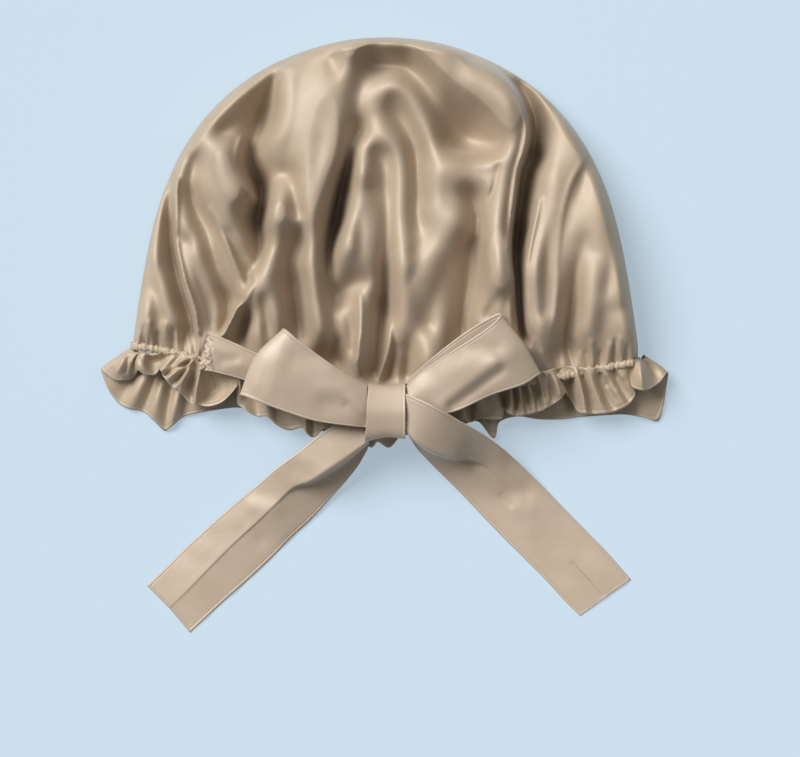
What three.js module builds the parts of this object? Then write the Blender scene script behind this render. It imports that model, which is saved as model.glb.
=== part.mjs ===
// A satin sleep bonnet lying on its back: a gathered crown, an elastic casing, a frill, and a ribbon tied in a bow.
// Millimetres, +Z up. +X runs from one side of the head to the other, +Y from the mouth to the crown's top, and z = 0
// is the surface that it lies on. The origin is on that surface, under the middle of the whole outline.
import * as THREE from "three";

// Driving dimensions
const baseHalfWidth = 136; // half the crown's width at its gathered edge
const topTaper = 24; // how much narrower that half width gets towards the top
const sideY = -5; // where the gathered edge meets the crown's two sides
const rimTilt = 3; // how much lower that edge is on the +X side, and higher on the other
const topY = 160.5; // the crown's top
const edgeHeight = 7; // height of the crown's side fold, where front and back layers meet
const wall = 2; // cloth with its seam allowance, as a wall
const gap = 0.4; // between two pieces that are sewn together
const rimHeight = 20; // top of the front layer at the gathered edge
const puffHeight = 40; // top of the front layer in the middle of the crown
const puffReach = 62; // how far above the gathered edge the front layer reaches that height
const frontDip = 23; // how far the gathered edge sags in the middle of the front
const backDip = 13; // and of the back
const casingDepth = 6; // the elastic's channel, along the cloth
const frillDepth = 26; // the frill beyond it
const frillSplay = 0.58; // the turn outwards of the frill at each side, in radians
const frillSag = 3; // how far the front frill droops to its hem
const frillWaves = 11; // waves of the frill across each layer
const waveHeight = 3.5;
const ribbonThickness = 1.2;

const satin = () => new THREE.MeshStandardMaterial({ color: 0xbda48a, roughness: 0.42, metalness: 0 });
const gathered = () => new THREE.MeshStandardMaterial({ color: 0xb29a80, roughness: 0.55, metalness: 0 });

// The crown's main folds, each a smooth line from its top end through a middle point to its low end. rise is positive
// for a ridge and negative for a hollow, and reach is the half width across it.
const folds = [
  { topX: -119, topEndY: 82, midX: -123, midY: 50, lowX: -125, lowEndY: 14, rise: 3, reach: 9 },
  { topX: -108, topEndY: 96, midX: -99, midY: 40, lowX: -91, lowEndY: 4, rise: 4, reach: 10 },
  { topX: -88, topEndY: 98, midX: -79, midY: 64, lowX: -71, lowEndY: 30, rise: 5, reach: 12 },
  { topX: -70, topEndY: 88, midX: -68, midY: 60, lowX: -68, lowEndY: 28, rise: -7, reach: 10 },
  { topX: -57, topEndY: 78, midX: -61, midY: 22, lowX: -64, lowEndY: -14, rise: 4, reach: 11 },
  { topX: -37, topEndY: 142, midX: -35, midY: 70, lowX: -31, lowEndY: -18, rise: 7, reach: 13 },
  { topX: -22, topEndY: 112, midX: -23, midY: 68, lowX: -28, lowEndY: 20, rise: -9, reach: 10 },
  { topX: -3, topEndY: 108, midX: -17, midY: 62, lowX: -13, lowEndY: -6, rise: 6, reach: 11 },
  { topX: 5, topEndY: 138, midX: 20, midY: 82, lowX: 8, lowEndY: 0, rise: 5, reach: 11 },
  { topX: 28, topEndY: 138, midX: 40, midY: 116, lowX: 52, lowEndY: 96, rise: -9, reach: 15 },
  { topX: 48, topEndY: 134, midX: 60, midY: 72, lowX: 60, lowEndY: 2, rise: 7, reach: 11 },
  { topX: 76, topEndY: 118, midX: 73, midY: 60, lowX: 72, lowEndY: 2, rise: -10, reach: 10 },
  { topX: 94, topEndY: 98, midX: 86, midY: 48, lowX: 84, lowEndY: -4, rise: 4, reach: 10 },
  { topX: 111, topEndY: 80, midX: 116, midY: 40, lowX: 116, lowEndY: 0, rise: 3, reach: 12 },
];

const smooth = (from, to, v) => THREE.MathUtils.smoothstep(v, from, to);

// Half the crown's width at a height up it, k from 0 at the gathered edge to 1 at the top.
const halfWidth = (k, inset) => (baseHalfWidth - inset - topTaper * k) * Math.sqrt(Math.max(0, 1 - k ** 3.7));

// The gathered edge's line on the front (side 1) or back (side -1), at a share of the half width.
function rimY(share, side) {
  const dip = side > 0 ? frontDip : backDip;
  return sideY - rimTilt * share - dip * Math.max(0, 1 - share * share) ** 1.2;
}

// The shoulder by which a layer rises from the side fold: a quarter round from 0 on the outline to 1, then level.
function shoulder(share) {
  const level = 0.7;
  const q = Math.max(0, Math.abs(share) - level) / (1 - level);
  return Math.sqrt(Math.max(0, 1 - q * q));
}

// A fold's line as x at a height y: the parabola through its three points.
function foldX(fold, y) {
  const [a, b, c] = [fold.topEndY, fold.midY, fold.lowEndY];
  return (
    (fold.topX * (y - b) * (y - c)) / ((a - b) * (a - c)) +
    (fold.midX * (y - a) * (y - c)) / ((b - a) * (b - c)) +
    (fold.lowX * (y - a) * (y - b)) / ((c - a) * (c - b))
  );
}

function foldRise(x, y) {
  const endFade = 16; // a fold dies away over this length at each end
  let rise = 0;
  for (const fold of folds) {
    const { topEndY, lowEndY, reach } = fold;
    const fade = smooth(lowEndY - endFade, lowEndY, y) * (1 - smooth(topEndY, topEndY + endFade, y));
    const across = (x - foldX(fold, THREE.MathUtils.clamp(y, lowEndY, topEndY))) / reach;
    rise += fold.rise * fade * Math.exp(-across * across);
  }
  return rise;
}

// A point of the crown: share runs -1 to 1 across it, k 0 to 1 up it, on its front or back layer, inset by a wall.
function crownPoint(share, k, side, inset) {
  const low = rimY(share, side);
  const y = THREE.MathUtils.lerp(low, topY - inset, k);
  const upOutline = THREE.MathUtils.clamp((y - sideY) / (topY - inset - sideY), 0, 1);
  const x = halfWidth(upOutline, inset) * share;
  const rounding = shoulder(share) * shoulder(upOutline);
  if (side < 0) return new THREE.Vector3(x, y, edgeHeight - (edgeHeight - inset) * rounding);
  const puff = THREE.MathUtils.lerp(rimHeight, puffHeight, smooth(0, puffReach, y - low));
  const height = puff + foldRise(x, y) * smooth(0, puffReach / 2, y - low) - inset;
  return new THREE.Vector3(x, y, edgeHeight + (height - edgeHeight) * rounding);
}

// A point past the gathered edge, on the loop that runs on down the casing and the frill. out is the distance along
// the cloth past that edge, and wave the height of the frill's waves there.
function mouthPoint(share, side, out, inset, wave) {
  const splay = frillSplay * share * Math.abs(share) ** 4;
  const x = (baseHalfWidth - inset) * share + out * Math.sin(splay);
  const y = rimY(share, side) - out * Math.cos(splay);
  const lift = (wave / 2) * (1 + Math.cos(frillWaves * Math.PI * share + side));
  if (side < 0) return new THREE.Vector3(x, y, edgeHeight - (edgeHeight - inset - lift / 2) * shoulder(share));
  const sag = frillSag * smooth(casingDepth, casingDepth + frillDepth, out);
  return new THREE.Vector3(x, y, edgeHeight + (rimHeight - sag - inset + lift - edgeHeight) * shoulder(share));
}

// One closed ring round the head: the front layer from +X to -X, then the back layer from -X to +X.
function headRing(pointAt, frontSteps, backSteps) {
  const ring = [];
  for (let i = 0; i < frontSteps; i++) ring.push(pointAt(Math.cos((Math.PI * i) / frontSteps), 1));
  for (let i = 0; i < backSteps; i++) ring.push(pointAt(-Math.cos((Math.PI * i) / backSteps), -1));
  return ring;
}

// A solid skinned over rings of equal count, in order. It closes on its first ring, or has its two ends fanned shut.
function skin(rings, closesOnItself) {
  const count = rings[0].length;
  const points = rings.flat();
  const triangles = [];
  const bands = closesOnItself ? rings.length : rings.length - 1;
  for (let r = 0; r < bands; r++) {
    const below = r * count;
    const above = ((r + 1) % rings.length) * count;
    for (let i = 0; i < count; i++) {
      const next = (i + 1) % count;
      triangles.push(below + i, below + next, above + next, below + i, above + next, above + i);
    }
  }
  if (!closesOnItself) {
    const lastStart = (rings.length - 1) * count;
    for (const start of [0, lastStart]) {
      const middle = points.length;
      const ring = points.slice(start, start + count);
      points.push(ring.reduce((sum, p) => sum.add(p), new THREE.Vector3()).divideScalar(count));
      for (let i = 0; i < count; i++) {
        const pair = [start + i, start + ((i + 1) % count)];
        triangles.push(middle, ...(start === 0 ? pair.reverse() : pair));
      }
    }
  }
  const geometry = new THREE.BufferGeometry();
  geometry.setAttribute("position", new THREE.Float32BufferAttribute(points.flatMap((p) => p.toArray()), 3));
  geometry.setIndex(triangles);
  geometry.computeVertexNormals();
  return geometry;
}

function named(name, geometry, material) {
  const mesh = new THREE.Mesh(geometry, material);
  mesh.name = name;
  return mesh;
}

// The crown is one hollow pouch: down its outside from the top to the gathered edge, then up its inside.
function crown() {
  const frontSteps = 64;
  const backSteps = 12;
  const rows = 20;
  const crowding = 1.1; // rows draw closer together towards the top
  const layer = (inset) =>
    Array.from({ length: rows }, (_, row) => {
      const k = Math.sin((Math.PI / 2) * (row / rows)) ** crowding;
      return headRing((share, side) => crownPoint(share, k, side, inset), frontSteps, backSteps);
    });
  return named("crown", skin([...layer(0).reverse(), ...layer(wall)], false), satin());
}

// A band of cloth round the mouth, between two distances past the gathered edge, whose waves grow to its far edge.
function mouthBand(name, from, to, rows, steps, wave, material) {
  const layer = (inset) =>
    Array.from({ length: rows + 1 }, (_, row) => {
      const out = THREE.MathUtils.lerp(from, to, row / rows);
      const pointAt = (share, side) => mouthPoint(share, side, out, inset, (wave * row) / rows);
      return headRing(pointAt, steps, steps / 2);
    });
  return named(name, skin([...layer(0), ...layer(wall).reverse()], true), material);
}

// A ribbon between two edges. Each station holds a point of one edge (a) and of the other (b), and both edges run
// smoothly through them.
function ribbon(name, stations) {
  const stepsPerStation = 3;
  const steps = stations.length * stepsPerStation;
  const rimShare = 0.5; // how thick the ribbon is at its two edges
  const across = [{ s: 0, full: rimShare }, { s: 0.5, full: 1 }, { s: 1, full: rimShare }];
  const edge = (keys) => new THREE.CatmullRomCurve3(stations.map((s) => new THREE.Vector3(...keys.map((k) => s[k]))));
  const edgeA = edge(["ax", "ay", "az"]);
  const edgeB = edge(["bx", "by", "bz"]);
  const rings = Array.from({ length: steps + 1 }, (_, i) => {
    const t = i / steps;
    const [a, b] = [edgeA.getPoint(t), edgeB.getPoint(t)];
    const along = edgeA.getTangent(t).add(edgeB.getTangent(t)).normalize();
    const normal = new THREE.Vector3().crossVectors(along, b.clone().sub(a)).normalize();
    const row = (side) =>
      across.map(({ s, full }) => a.clone().lerp(b, s).addScaledVector(normal, (side * full * ribbonThickness) / 2));
    return [...row(-1), ...row(1).reverse()];
  });
  return named(name, skin(rings, false), satin());
}

// The knot is a band of ribbon wrapped over the crossing, an oval from the side and a little narrower at its waist.
function knot() {
  const halfLength = 10;
  const halfDepth = 15.5;
  const halfHeight = 8;
  const waist = 0.08;
  const sections = 6;
  const sides = 16;
  const centre = new THREE.Vector3(0, -40, 31);
  const rings = Array.from({ length: sections + 1 }, (_, i) => {
    const along = -1 + (2 * i) / sections;
    const depth = halfDepth * (1 - waist * (1 - along * along));
    return Array.from({ length: sides }, (_, j) => {
      const turn = (2 * Math.PI * j) / sides;
      const offset = new THREE.Vector3(along * halfLength, Math.cos(turn) * depth, Math.sin(turn) * halfHeight);
      return offset.add(centre);
    });
  });
  return named("bow_knot", skin(rings, false), satin());
}

// The ribbon's stations. Each strap runs from its sewn end to the knot, each loop out from the knot and back over
// itself, and each tail from its cut end to the knot or the other way round.
const strapLeft = [
  { ax: -91, ay: 1, az: 28.5, bx: -97, by: -18, bz: 23.5 },
  { ax: -67, ay: -9, az: 27.5, bx: -73, by: -24, bz: 23.5 },
  { ax: -40, ay: -19, az: 26.5, bx: -42, by: -35, bz: 23.5 },
  { ax: -11, ay: -31, az: 25, bx: -11, by: -46, bz: 24.5 },
];
const strapRight = [
  { ax: 11, ay: -46, az: 24.5, bx: 11, by: -31, bz: 25 },
  { ax: 34, ay: -36, az: 23.5, bx: 32, by: -20, bz: 26.5 },
  { ax: 54, ay: -28, az: 23.5, bx: 50, by: -12, bz: 27.5 },
  { ax: 72, ay: -21, az: 23.5, bx: 67, by: -4, bz: 28.5 },
];
const loopLeft = [
  { ax: -11, ay: -29, az: 28.5, bx: -11, by: -48, bz: 28 },
  { ax: -33, ay: -13, az: 32, bx: -43, by: -41, bz: 27.5 },
  { ax: -52, ay: 0, az: 35, bx: -70, by: -31, bz: 28 },
  { ax: -56, ay: 3, az: 38, bx: -75, by: -31, bz: 32 },
  { ax: -52, ay: 0, az: 41, bx: -70, by: -33, bz: 37 },
  { ax: -33, ay: -12, az: 40, bx: -43, by: -43, bz: 36 },
  { ax: -11, ay: -28, az: 35, bx: -11, by: -49, bz: 34 },
];
const loopRight = [
  { ax: 11, ay: -43, az: 28, bx: 11, by: -28, bz: 28.5 },
  { ax: 46, ay: -36, az: 27.5, bx: 36, by: -8, bz: 33 },
  { ax: 77, ay: -22, az: 28, bx: 57, by: 8, bz: 36.5 },
  { ax: 82, ay: -20, az: 32, bx: 61, by: 11, bz: 39.5 },
  { ax: 77, ay: -22, az: 36.5, bx: 57, by: 8, bz: 42.5 },
  { ax: 46, ay: -37, az: 35.5, bx: 36, by: -8, bz: 40.5 },
  { ax: 11, ay: -44, az: 33, bx: 11, by: -27, bz: 35 },
];
const tailLeft = [
  { ax: -128, ay: -134, az: 0.8, bx: -106, by: -160, bz: 0.8 },
  { ax: -106, ay: -112, az: 1.2, bx: -84, by: -140, bz: 1.2 },
  { ax: -77, ay: -85, az: 3.6, bx: -50, by: -107, bz: 2.2 },
  { ax: -56, ay: -69, az: 14, bx: -29, by: -87, bz: 11 },
  { ax: -30, ay: -52, az: 24.5, bx: -13, by: -66, bz: 23 },
  { ax: -11, ay: -50, az: 24.5, bx: -10.6, by: -60, bz: 24.5 },
];
const tailRight = [
  { ax: 10.8, ay: -53.5, az: 36, bx: 11, by: -30, bz: 38 },
  { ax: 20, ay: -61, az: 31, bx: 26, by: -37, bz: 41 },
  { ax: 30, ay: -75, az: 14, bx: 48, by: -51, bz: 28 },
  { ax: 44, ay: -89, az: 2.5, bx: 66, by: -64, bz: 13 },
  { ax: 60, ay: -106, az: 0.8, bx: 86, by: -80, bz: 2 },
  { ax: 78, ay: -123, az: 0.8, bx: 108, by: -100, bz: 0.8 },
  { ax: 104, ay: -151, az: 0.8, bx: 132, by: -130, bz: 0.8 },
];

const casingEnd = casingDepth - gap;
const bonnet = new THREE.Group();
bonnet.add(
  crown(),
  mouthBand("elastic_casing", gap, casingEnd, 1, 40, 0, gathered()),
  mouthBand("frill", casingDepth, casingDepth + frillDepth, 2, 72, waveHeight, satin()),
  ribbon("strap_left", strapLeft),
  ribbon("strap_right", strapRight),
  ribbon("bow_loop_left", loopLeft),
  ribbon("bow_loop_right", loopRight),
  knot(),
  ribbon("bow_tail_left", tailLeft),
  ribbon("bow_tail_right", tailRight),
);

export default bonnet;
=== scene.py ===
# A satin sleep bonnet laid flat, bow side up: crown, elastic casing, frill and a ribbon bow.
import bmesh
import bpy
import numpy as np
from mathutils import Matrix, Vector


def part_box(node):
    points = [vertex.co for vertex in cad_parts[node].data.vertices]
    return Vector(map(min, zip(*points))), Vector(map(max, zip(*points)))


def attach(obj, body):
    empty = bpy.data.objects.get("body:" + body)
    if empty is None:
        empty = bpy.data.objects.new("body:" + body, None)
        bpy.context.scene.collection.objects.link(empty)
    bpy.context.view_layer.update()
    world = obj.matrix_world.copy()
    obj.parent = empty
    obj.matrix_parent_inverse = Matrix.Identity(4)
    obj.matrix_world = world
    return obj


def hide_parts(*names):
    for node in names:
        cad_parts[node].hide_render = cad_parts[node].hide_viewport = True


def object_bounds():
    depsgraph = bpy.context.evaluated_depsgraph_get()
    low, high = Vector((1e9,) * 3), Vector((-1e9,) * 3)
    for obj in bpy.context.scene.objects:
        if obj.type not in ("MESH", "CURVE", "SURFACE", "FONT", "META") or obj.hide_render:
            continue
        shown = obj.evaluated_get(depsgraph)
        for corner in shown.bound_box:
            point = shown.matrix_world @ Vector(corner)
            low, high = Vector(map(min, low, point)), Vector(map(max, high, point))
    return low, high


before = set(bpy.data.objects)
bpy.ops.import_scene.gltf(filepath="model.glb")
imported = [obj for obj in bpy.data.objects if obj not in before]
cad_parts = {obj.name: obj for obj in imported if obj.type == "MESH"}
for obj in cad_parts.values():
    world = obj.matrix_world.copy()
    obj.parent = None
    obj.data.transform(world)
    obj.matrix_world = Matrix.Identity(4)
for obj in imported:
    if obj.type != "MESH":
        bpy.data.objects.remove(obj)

cadLow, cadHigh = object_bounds()
mm = 0.001  # the tables below are in millimetres, in the frame's own axes


def feed(tree, node, inputs):
    # each input takes another node's output, or a constant
    for place, value in inputs.items():
        if isinstance(value, bpy.types.NodeSocket):
            tree.links.new(value, node.inputs[place])
        else:
            node.inputs[place].default_value = value


def addNode(tree, kind, inputs={}, **settings):
    # a shader node with its settings and what its inputs take
    node = tree.nodes.new("ShaderNode" + kind)
    for key, value in settings.items():
        setattr(node, key, value)
    feed(tree, node, inputs)
    return node


stage = {
    "cameraHeight": 2.0,
    "viewWidth": 0.4318,  # how much of the floor the picture spans
    "viewCentre": (0.008, -0.0229),
    "floorColour": (0.497, 0.605, 0.692),
    "floorGlow": 0.55,  # how much of the floor's brightness is its own, as on a light table
    "horizonLight": 0.1,
    "zenithLight": 0.27,
    "keyFrom": (-0.78, 0.64, 1.05),
    "keyStrength": 4.15,
    "keySpread": 0.6,  # the light's own width, as an angle
    "fillFrom": (0.9, 0.5, 1.2),
    "fillStrength": 0.25,
}


def makeStage():
    scene = bpy.context.scene
    scene.view_settings.view_transform = "Standard"
    camData = bpy.data.cameras.new("camera")
    camera = bpy.data.objects.new("camera", camData)
    scene.collection.objects.link(camera)
    camera.location = (*stage["viewCentre"], stage["cameraHeight"])
    camData.sensor_width = 36
    camData.lens = camData.sensor_width * stage["cameraHeight"] / stage["viewWidth"]
    camData.clip_end = 20
    scene.camera = camera

    # a studio whose light falls from an even white ceiling to a dimmer wall
    world = bpy.data.worlds.new("studio")
    scene.world = world
    world.use_nodes = True
    tree = world.node_tree
    way = addNode(tree, "TexCoord").outputs["Generated"]
    split = addNode(tree, "SeparateXYZ", {"Vector": way})
    rise = addNode(tree, "MapRange", {
        "Value": split.outputs["Z"],
        "From Min": 0.1,
        "From Max": 0.95,
        "To Min": stage["horizonLight"],
        "To Max": stage["zenithLight"],
    })
    feed(tree, tree.nodes["Background"], {"Strength": rise.outputs["Result"], "Color": (0.97, 0.985, 1.0, 1)})

    for name in ("key", "fill"):
        lightData = bpy.data.lights.new(name, "SUN")
        lightData.energy = stage[name + "Strength"]
        lightData.angle = stage["keySpread"]
        light = bpy.data.objects.new(name, lightData)
        light.rotation_euler = Vector(stage[name + "From"]).to_track_quat("Z", "Y").to_euler()
        scene.collection.objects.link(light)

    side = 6.0
    corners = [(-side, -side, 0), (side, -side, 0), (side, side, 0), (-side, side, 0)]
    floorMesh = bpy.data.meshes.new("floor")
    floorMesh.from_pydata(corners, [], [(0, 1, 2, 3)])
    floor = bpy.data.objects.new("floor", floorMesh)
    scene.collection.objects.link(floor)
    paint = bpy.data.materials.new("floor_paint")
    paint.use_nodes = True
    glow = stage["floorGlow"]
    feed(paint.node_tree, paint.node_tree.nodes["Principled BSDF"], {
        "Base Color": (*[c * (1 - glow) for c in stage["floorColour"]], 1),
        "Emission Color": (*stage["floorColour"], 1),
        "Emission Strength": glow * 1.22,
        "Roughness": 0.9,
        "Specular IOR Level": 0.1,
    })
    floorMesh.materials.append(paint)
    print("stage: camera, lights and floor")


makeStage()


satin = {
    "colour": (0.43, 0.335, 0.238),
    "shadeColour": (0.395, 0.3, 0.202),
    "roughness": 0.58,
    "sheen": 0.25,
    "weave": 0.00045,  # one thread to the next
    "stitch": 0.0012,  # one stitch to the next
    "threadColour": (0.66, 0.57, 0.46),
    "frillColour": (0.44, 0.345, 0.24),
    "frillShade": (0.40, 0.30, 0.20),
    "ribbonColour": (0.465, 0.365, 0.27),
    "ribbonShade": (0.435, 0.335, 0.24),
}


def satinCloth(name, colour, shadeColour, roughness, lustre=0.0, hem=0):
    # satin: a soft broad gloss, a fine weave along the cloth's own directions, and faint uneven colour
    material = bpy.data.materials.new(name)
    material.use_nodes = True
    tree = material.node_tree
    shader = tree.nodes["Principled BSDF"]
    place = addNode(tree, "TexCoord").outputs["Object"]
    along = addNode(tree, "UVMap", uv_map="cloth").outputs["UV"]

    mottle = addNode(tree, "TexNoise", {"Vector": place, "Scale": 55, "Detail": 4})
    spread = addNode(tree, "MapRange", {"Value": mottle.outputs["Fac"], "From Min": 0.3, "From Max": 0.6})
    shades = {"Factor": spread.outputs["Result"], "A": (*shadeColour, 1), "B": (*colour, 1)}
    tint = addNode(tree, "Mix", shades, data_type="RGBA").outputs["Result"]

    run = (1 / satin["weave"], 0.35 / satin["weave"], 1)
    stretch = addNode(tree, "Mapping", {"Vector": along, "Scale": run})
    floats = addNode(tree, "TexNoise", {"Vector": stretch.outputs["Vector"], "Scale": 1.0, "Detail": 2})
    slub = addNode(tree, "TexNoise", {"Vector": place, "Scale": 260, "Detail": 3})
    heights = addNode(tree, "Math", {0: floats.outputs["Fac"], 1: slub.outputs["Fac"]}, operation="ADD")
    threads = {"Strength": 0.25, "Distance": 0.0003, "Height": heights.outputs["Value"]}
    normal = addNode(tree, "Bump", threads).outputs["Normal"]
    if hem:
        tint, normal = sewHem(tree, tint, normal, hem)
    feed(tree, shader, {
        "Base Color": tint,
        "Normal": normal,
        "Roughness": roughness,
        "Metallic": lustre,
        "Specular IOR Level": 0.9,
        "Sheen Weight": satin["sheen"],
        "Sheen Roughness": 0.35,
        "Sheen Tint": (1.0, 0.93, 0.85, 1),
    })
    return material


def sewHem(tree, tint, normal, width):
    # a rolled, overlocked edge: a raised band of short stitches at the edge and a thin sewn line inside it
    place = addNode(tree, "UVMap", uv_map="hem").outputs["UV"]
    split = addNode(tree, "SeparateXYZ", {"Vector": place})
    edge = {"Value": split.outputs["Y"], "From Min": width, "From Max": width * 0.6}
    band = addNode(tree, "MapRange", edge, interpolation_type="SMOOTHSTEP")
    perMetre = 2 * np.pi / satin["stitch"]
    turns = addNode(tree, "Math", {0: split.outputs["X"], 1: perMetre}, operation="MULTIPLY")
    wave = addNode(tree, "Math", {0: turns.outputs["Value"]}, operation="SINE")
    stitch = addNode(tree, "MapRange", {"Value": wave.outputs["Value"], "From Min": -1, "To Min": 0.35})
    both = {0: band.outputs["Result"], 1: stitch.outputs["Result"]}
    raised = addNode(tree, "Math", both, operation="MULTIPLY").outputs["Value"]
    inner = addNode(tree, "Math", {0: split.outputs["Y"], 1: width * 1.5}, operation="SUBTRACT")
    away = addNode(tree, "Math", {0: inner.outputs["Value"]}, operation="ABSOLUTE")
    sewn = {"Value": away.outputs["Value"], "From Min": width * 0.28, "From Max": 0}
    line = addNode(tree, "MapRange", sewn)
    relief = addNode(tree, "Math", {0: raised, 1: line.outputs["Result"]}, operation="SUBTRACT")
    height = {"Strength": 0.35, "Distance": 0.0007, "Height": relief.outputs["Value"], "Normal": normal}
    hemBump = addNode(tree, "Bump", height)
    some = addNode(tree, "Math", {0: raised, 1: 0.4}, operation="MULTIPLY")
    dye = {"Factor": some.outputs["Value"], "A": tint, "B": (*satin["threadColour"], 1)}
    thread = addNode(tree, "Mix", dye, data_type="RGBA")
    return thread.outputs["Result"], hemBump.outputs["Normal"]


crownSatin = satinCloth("crown_satin", satin["colour"], satin["shadeColour"], satin["roughness"], lustre=0.1)
casingSatin = satinCloth("casing_satin", satin["frillColour"], satin["frillShade"], 0.6)
frillSatin = satinCloth(
    "frill_satin", satin["frillColour"], satin["frillShade"], 0.54, lustre=0.08, hem=0.0013
)
ribbonSatin = satinCloth(
    "ribbon_satin", satin["ribbonColour"], satin["ribbonShade"], 0.52, lustre=0.08, hem=0.001
)
print("satin made")


def cubic(a, b, c, d, t):
    # from b to c with the end slopes (c - a) / 2 and (d - b) / 2
    return 0.5 * (2 * b + (c - a) * t + (2 * a - 5 * b + 4 * c - d) * t**2 + (3 * b - a - 3 * c + d) * t**3)


def catmullRom(points, spacing):
    # resamples a line through its points, one cubic for each span
    p = np.asarray(points, float)
    p = np.vstack([2 * p[0] - p[1], p, 2 * p[-1] - p[-2]])
    spans = []
    for i in range(1, len(p) - 2):
        a, b, c, d = p[i - 1], p[i], p[i + 1], p[i + 2]
        steps = max(1, int(np.ceil(np.linalg.norm(c[:2] - b[:2]) / spacing)))
        t = np.linspace(0, 1, steps, endpoint=False)[:, None]
        spans.append(cubic(a, b, c, d, t))
    return np.vstack([*spans, p[-2:-1]])


def plateKernel(a, b):
    # r^2 ln r between two sets of plan points
    r2 = ((a[:, None, :] - b[None, :, :]) ** 2).sum(2)
    return 0.5 * r2 * np.log(r2 + 0.01)


def plateThrough(points, values, slack):
    # the bent plate of least bending energy through the points: a + b x + c y + sum of w r^2 ln r
    n = len(points)
    system = np.zeros((n + 3, n + 3))
    system[:n, :n] = plateKernel(points, points) + slack * np.eye(n)
    system[:n, n:] = np.column_stack([np.ones(n), points])
    system[n:, :n] = system[:n, n:].T
    solved = np.linalg.solve(system, np.vstack([values, np.zeros((3, values.shape[1]))]))

    def evaluate(where):
        parts = []
        for chunk in np.array_split(where, max(1, len(where) // 4000)):
            flat = np.column_stack([np.ones(len(chunk)), chunk])
            parts.append(plateKernel(chunk, points) @ solved[:n] + flat @ solved[n:])
        return np.vstack(parts)

    return evaluate


def gaussRows(places, sigma):
    # each row holds exp(-(distance / sigma)^2 / 2) to every other place, scaled to sum to 1
    near = np.exp(-((places[:, None] - places[None, :]) / sigma) ** 2 / 2)
    return near / near.sum(1, keepdims=True)


def restCrests(x, y, heights, sharp):
    # soft crests are rounded, min(wide average, own height), and hollows and sharp lines keep their own:
    # own * w + rounded * (1 - w), w = exp(-(distance to the sharp line / reach)^2)
    wide = gaussRows(y, crown["crestSigma"]) @ heights @ gaussRows(x, crown["crestSigma"]).T
    planX, planY = np.meshgrid(x, y)
    points = np.column_stack([planX.ravel(), planY.ravel()])
    near = np.concatenate([
        ((c[:, None] - sharp[None]) ** 2).sum(2).min(1) for c in np.array_split(points, 60)
    ]).reshape(planX.shape)
    keep = np.exp(-near / crown["sharpReach"] ** 2)
    soft = gaussRows(y, crown["clothSigma"]) @ np.minimum(wide, heights) @ gaussRows(x, crown["clothSigma"]).T
    crisp = gaussRows(y, crown["crispSigma"]) @ heights @ gaussRows(x, crown["crispSigma"]).T
    return crisp * keep + soft * (1 - keep)


def sampleGrid(x, y, heights, atX, atY):
    # the height between four grid points: weights from the parts of the cell on each side
    u = np.clip((atX - x[0]) / (x[1] - x[0]), 0, len(x) - 1.001)
    v = np.clip((atY - y[0]) / (y[1] - y[0]), 0, len(y) - 1.001)
    i, j = u.astype(int), v.astype(int)
    p, q = u - i, v - j
    low = heights[j, i] * (1 - p) + heights[j, i + 1] * p
    high = heights[j + 1, i] * (1 - p) + heights[j + 1, i + 1] * p
    return low * (1 - q) + high * q


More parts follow.
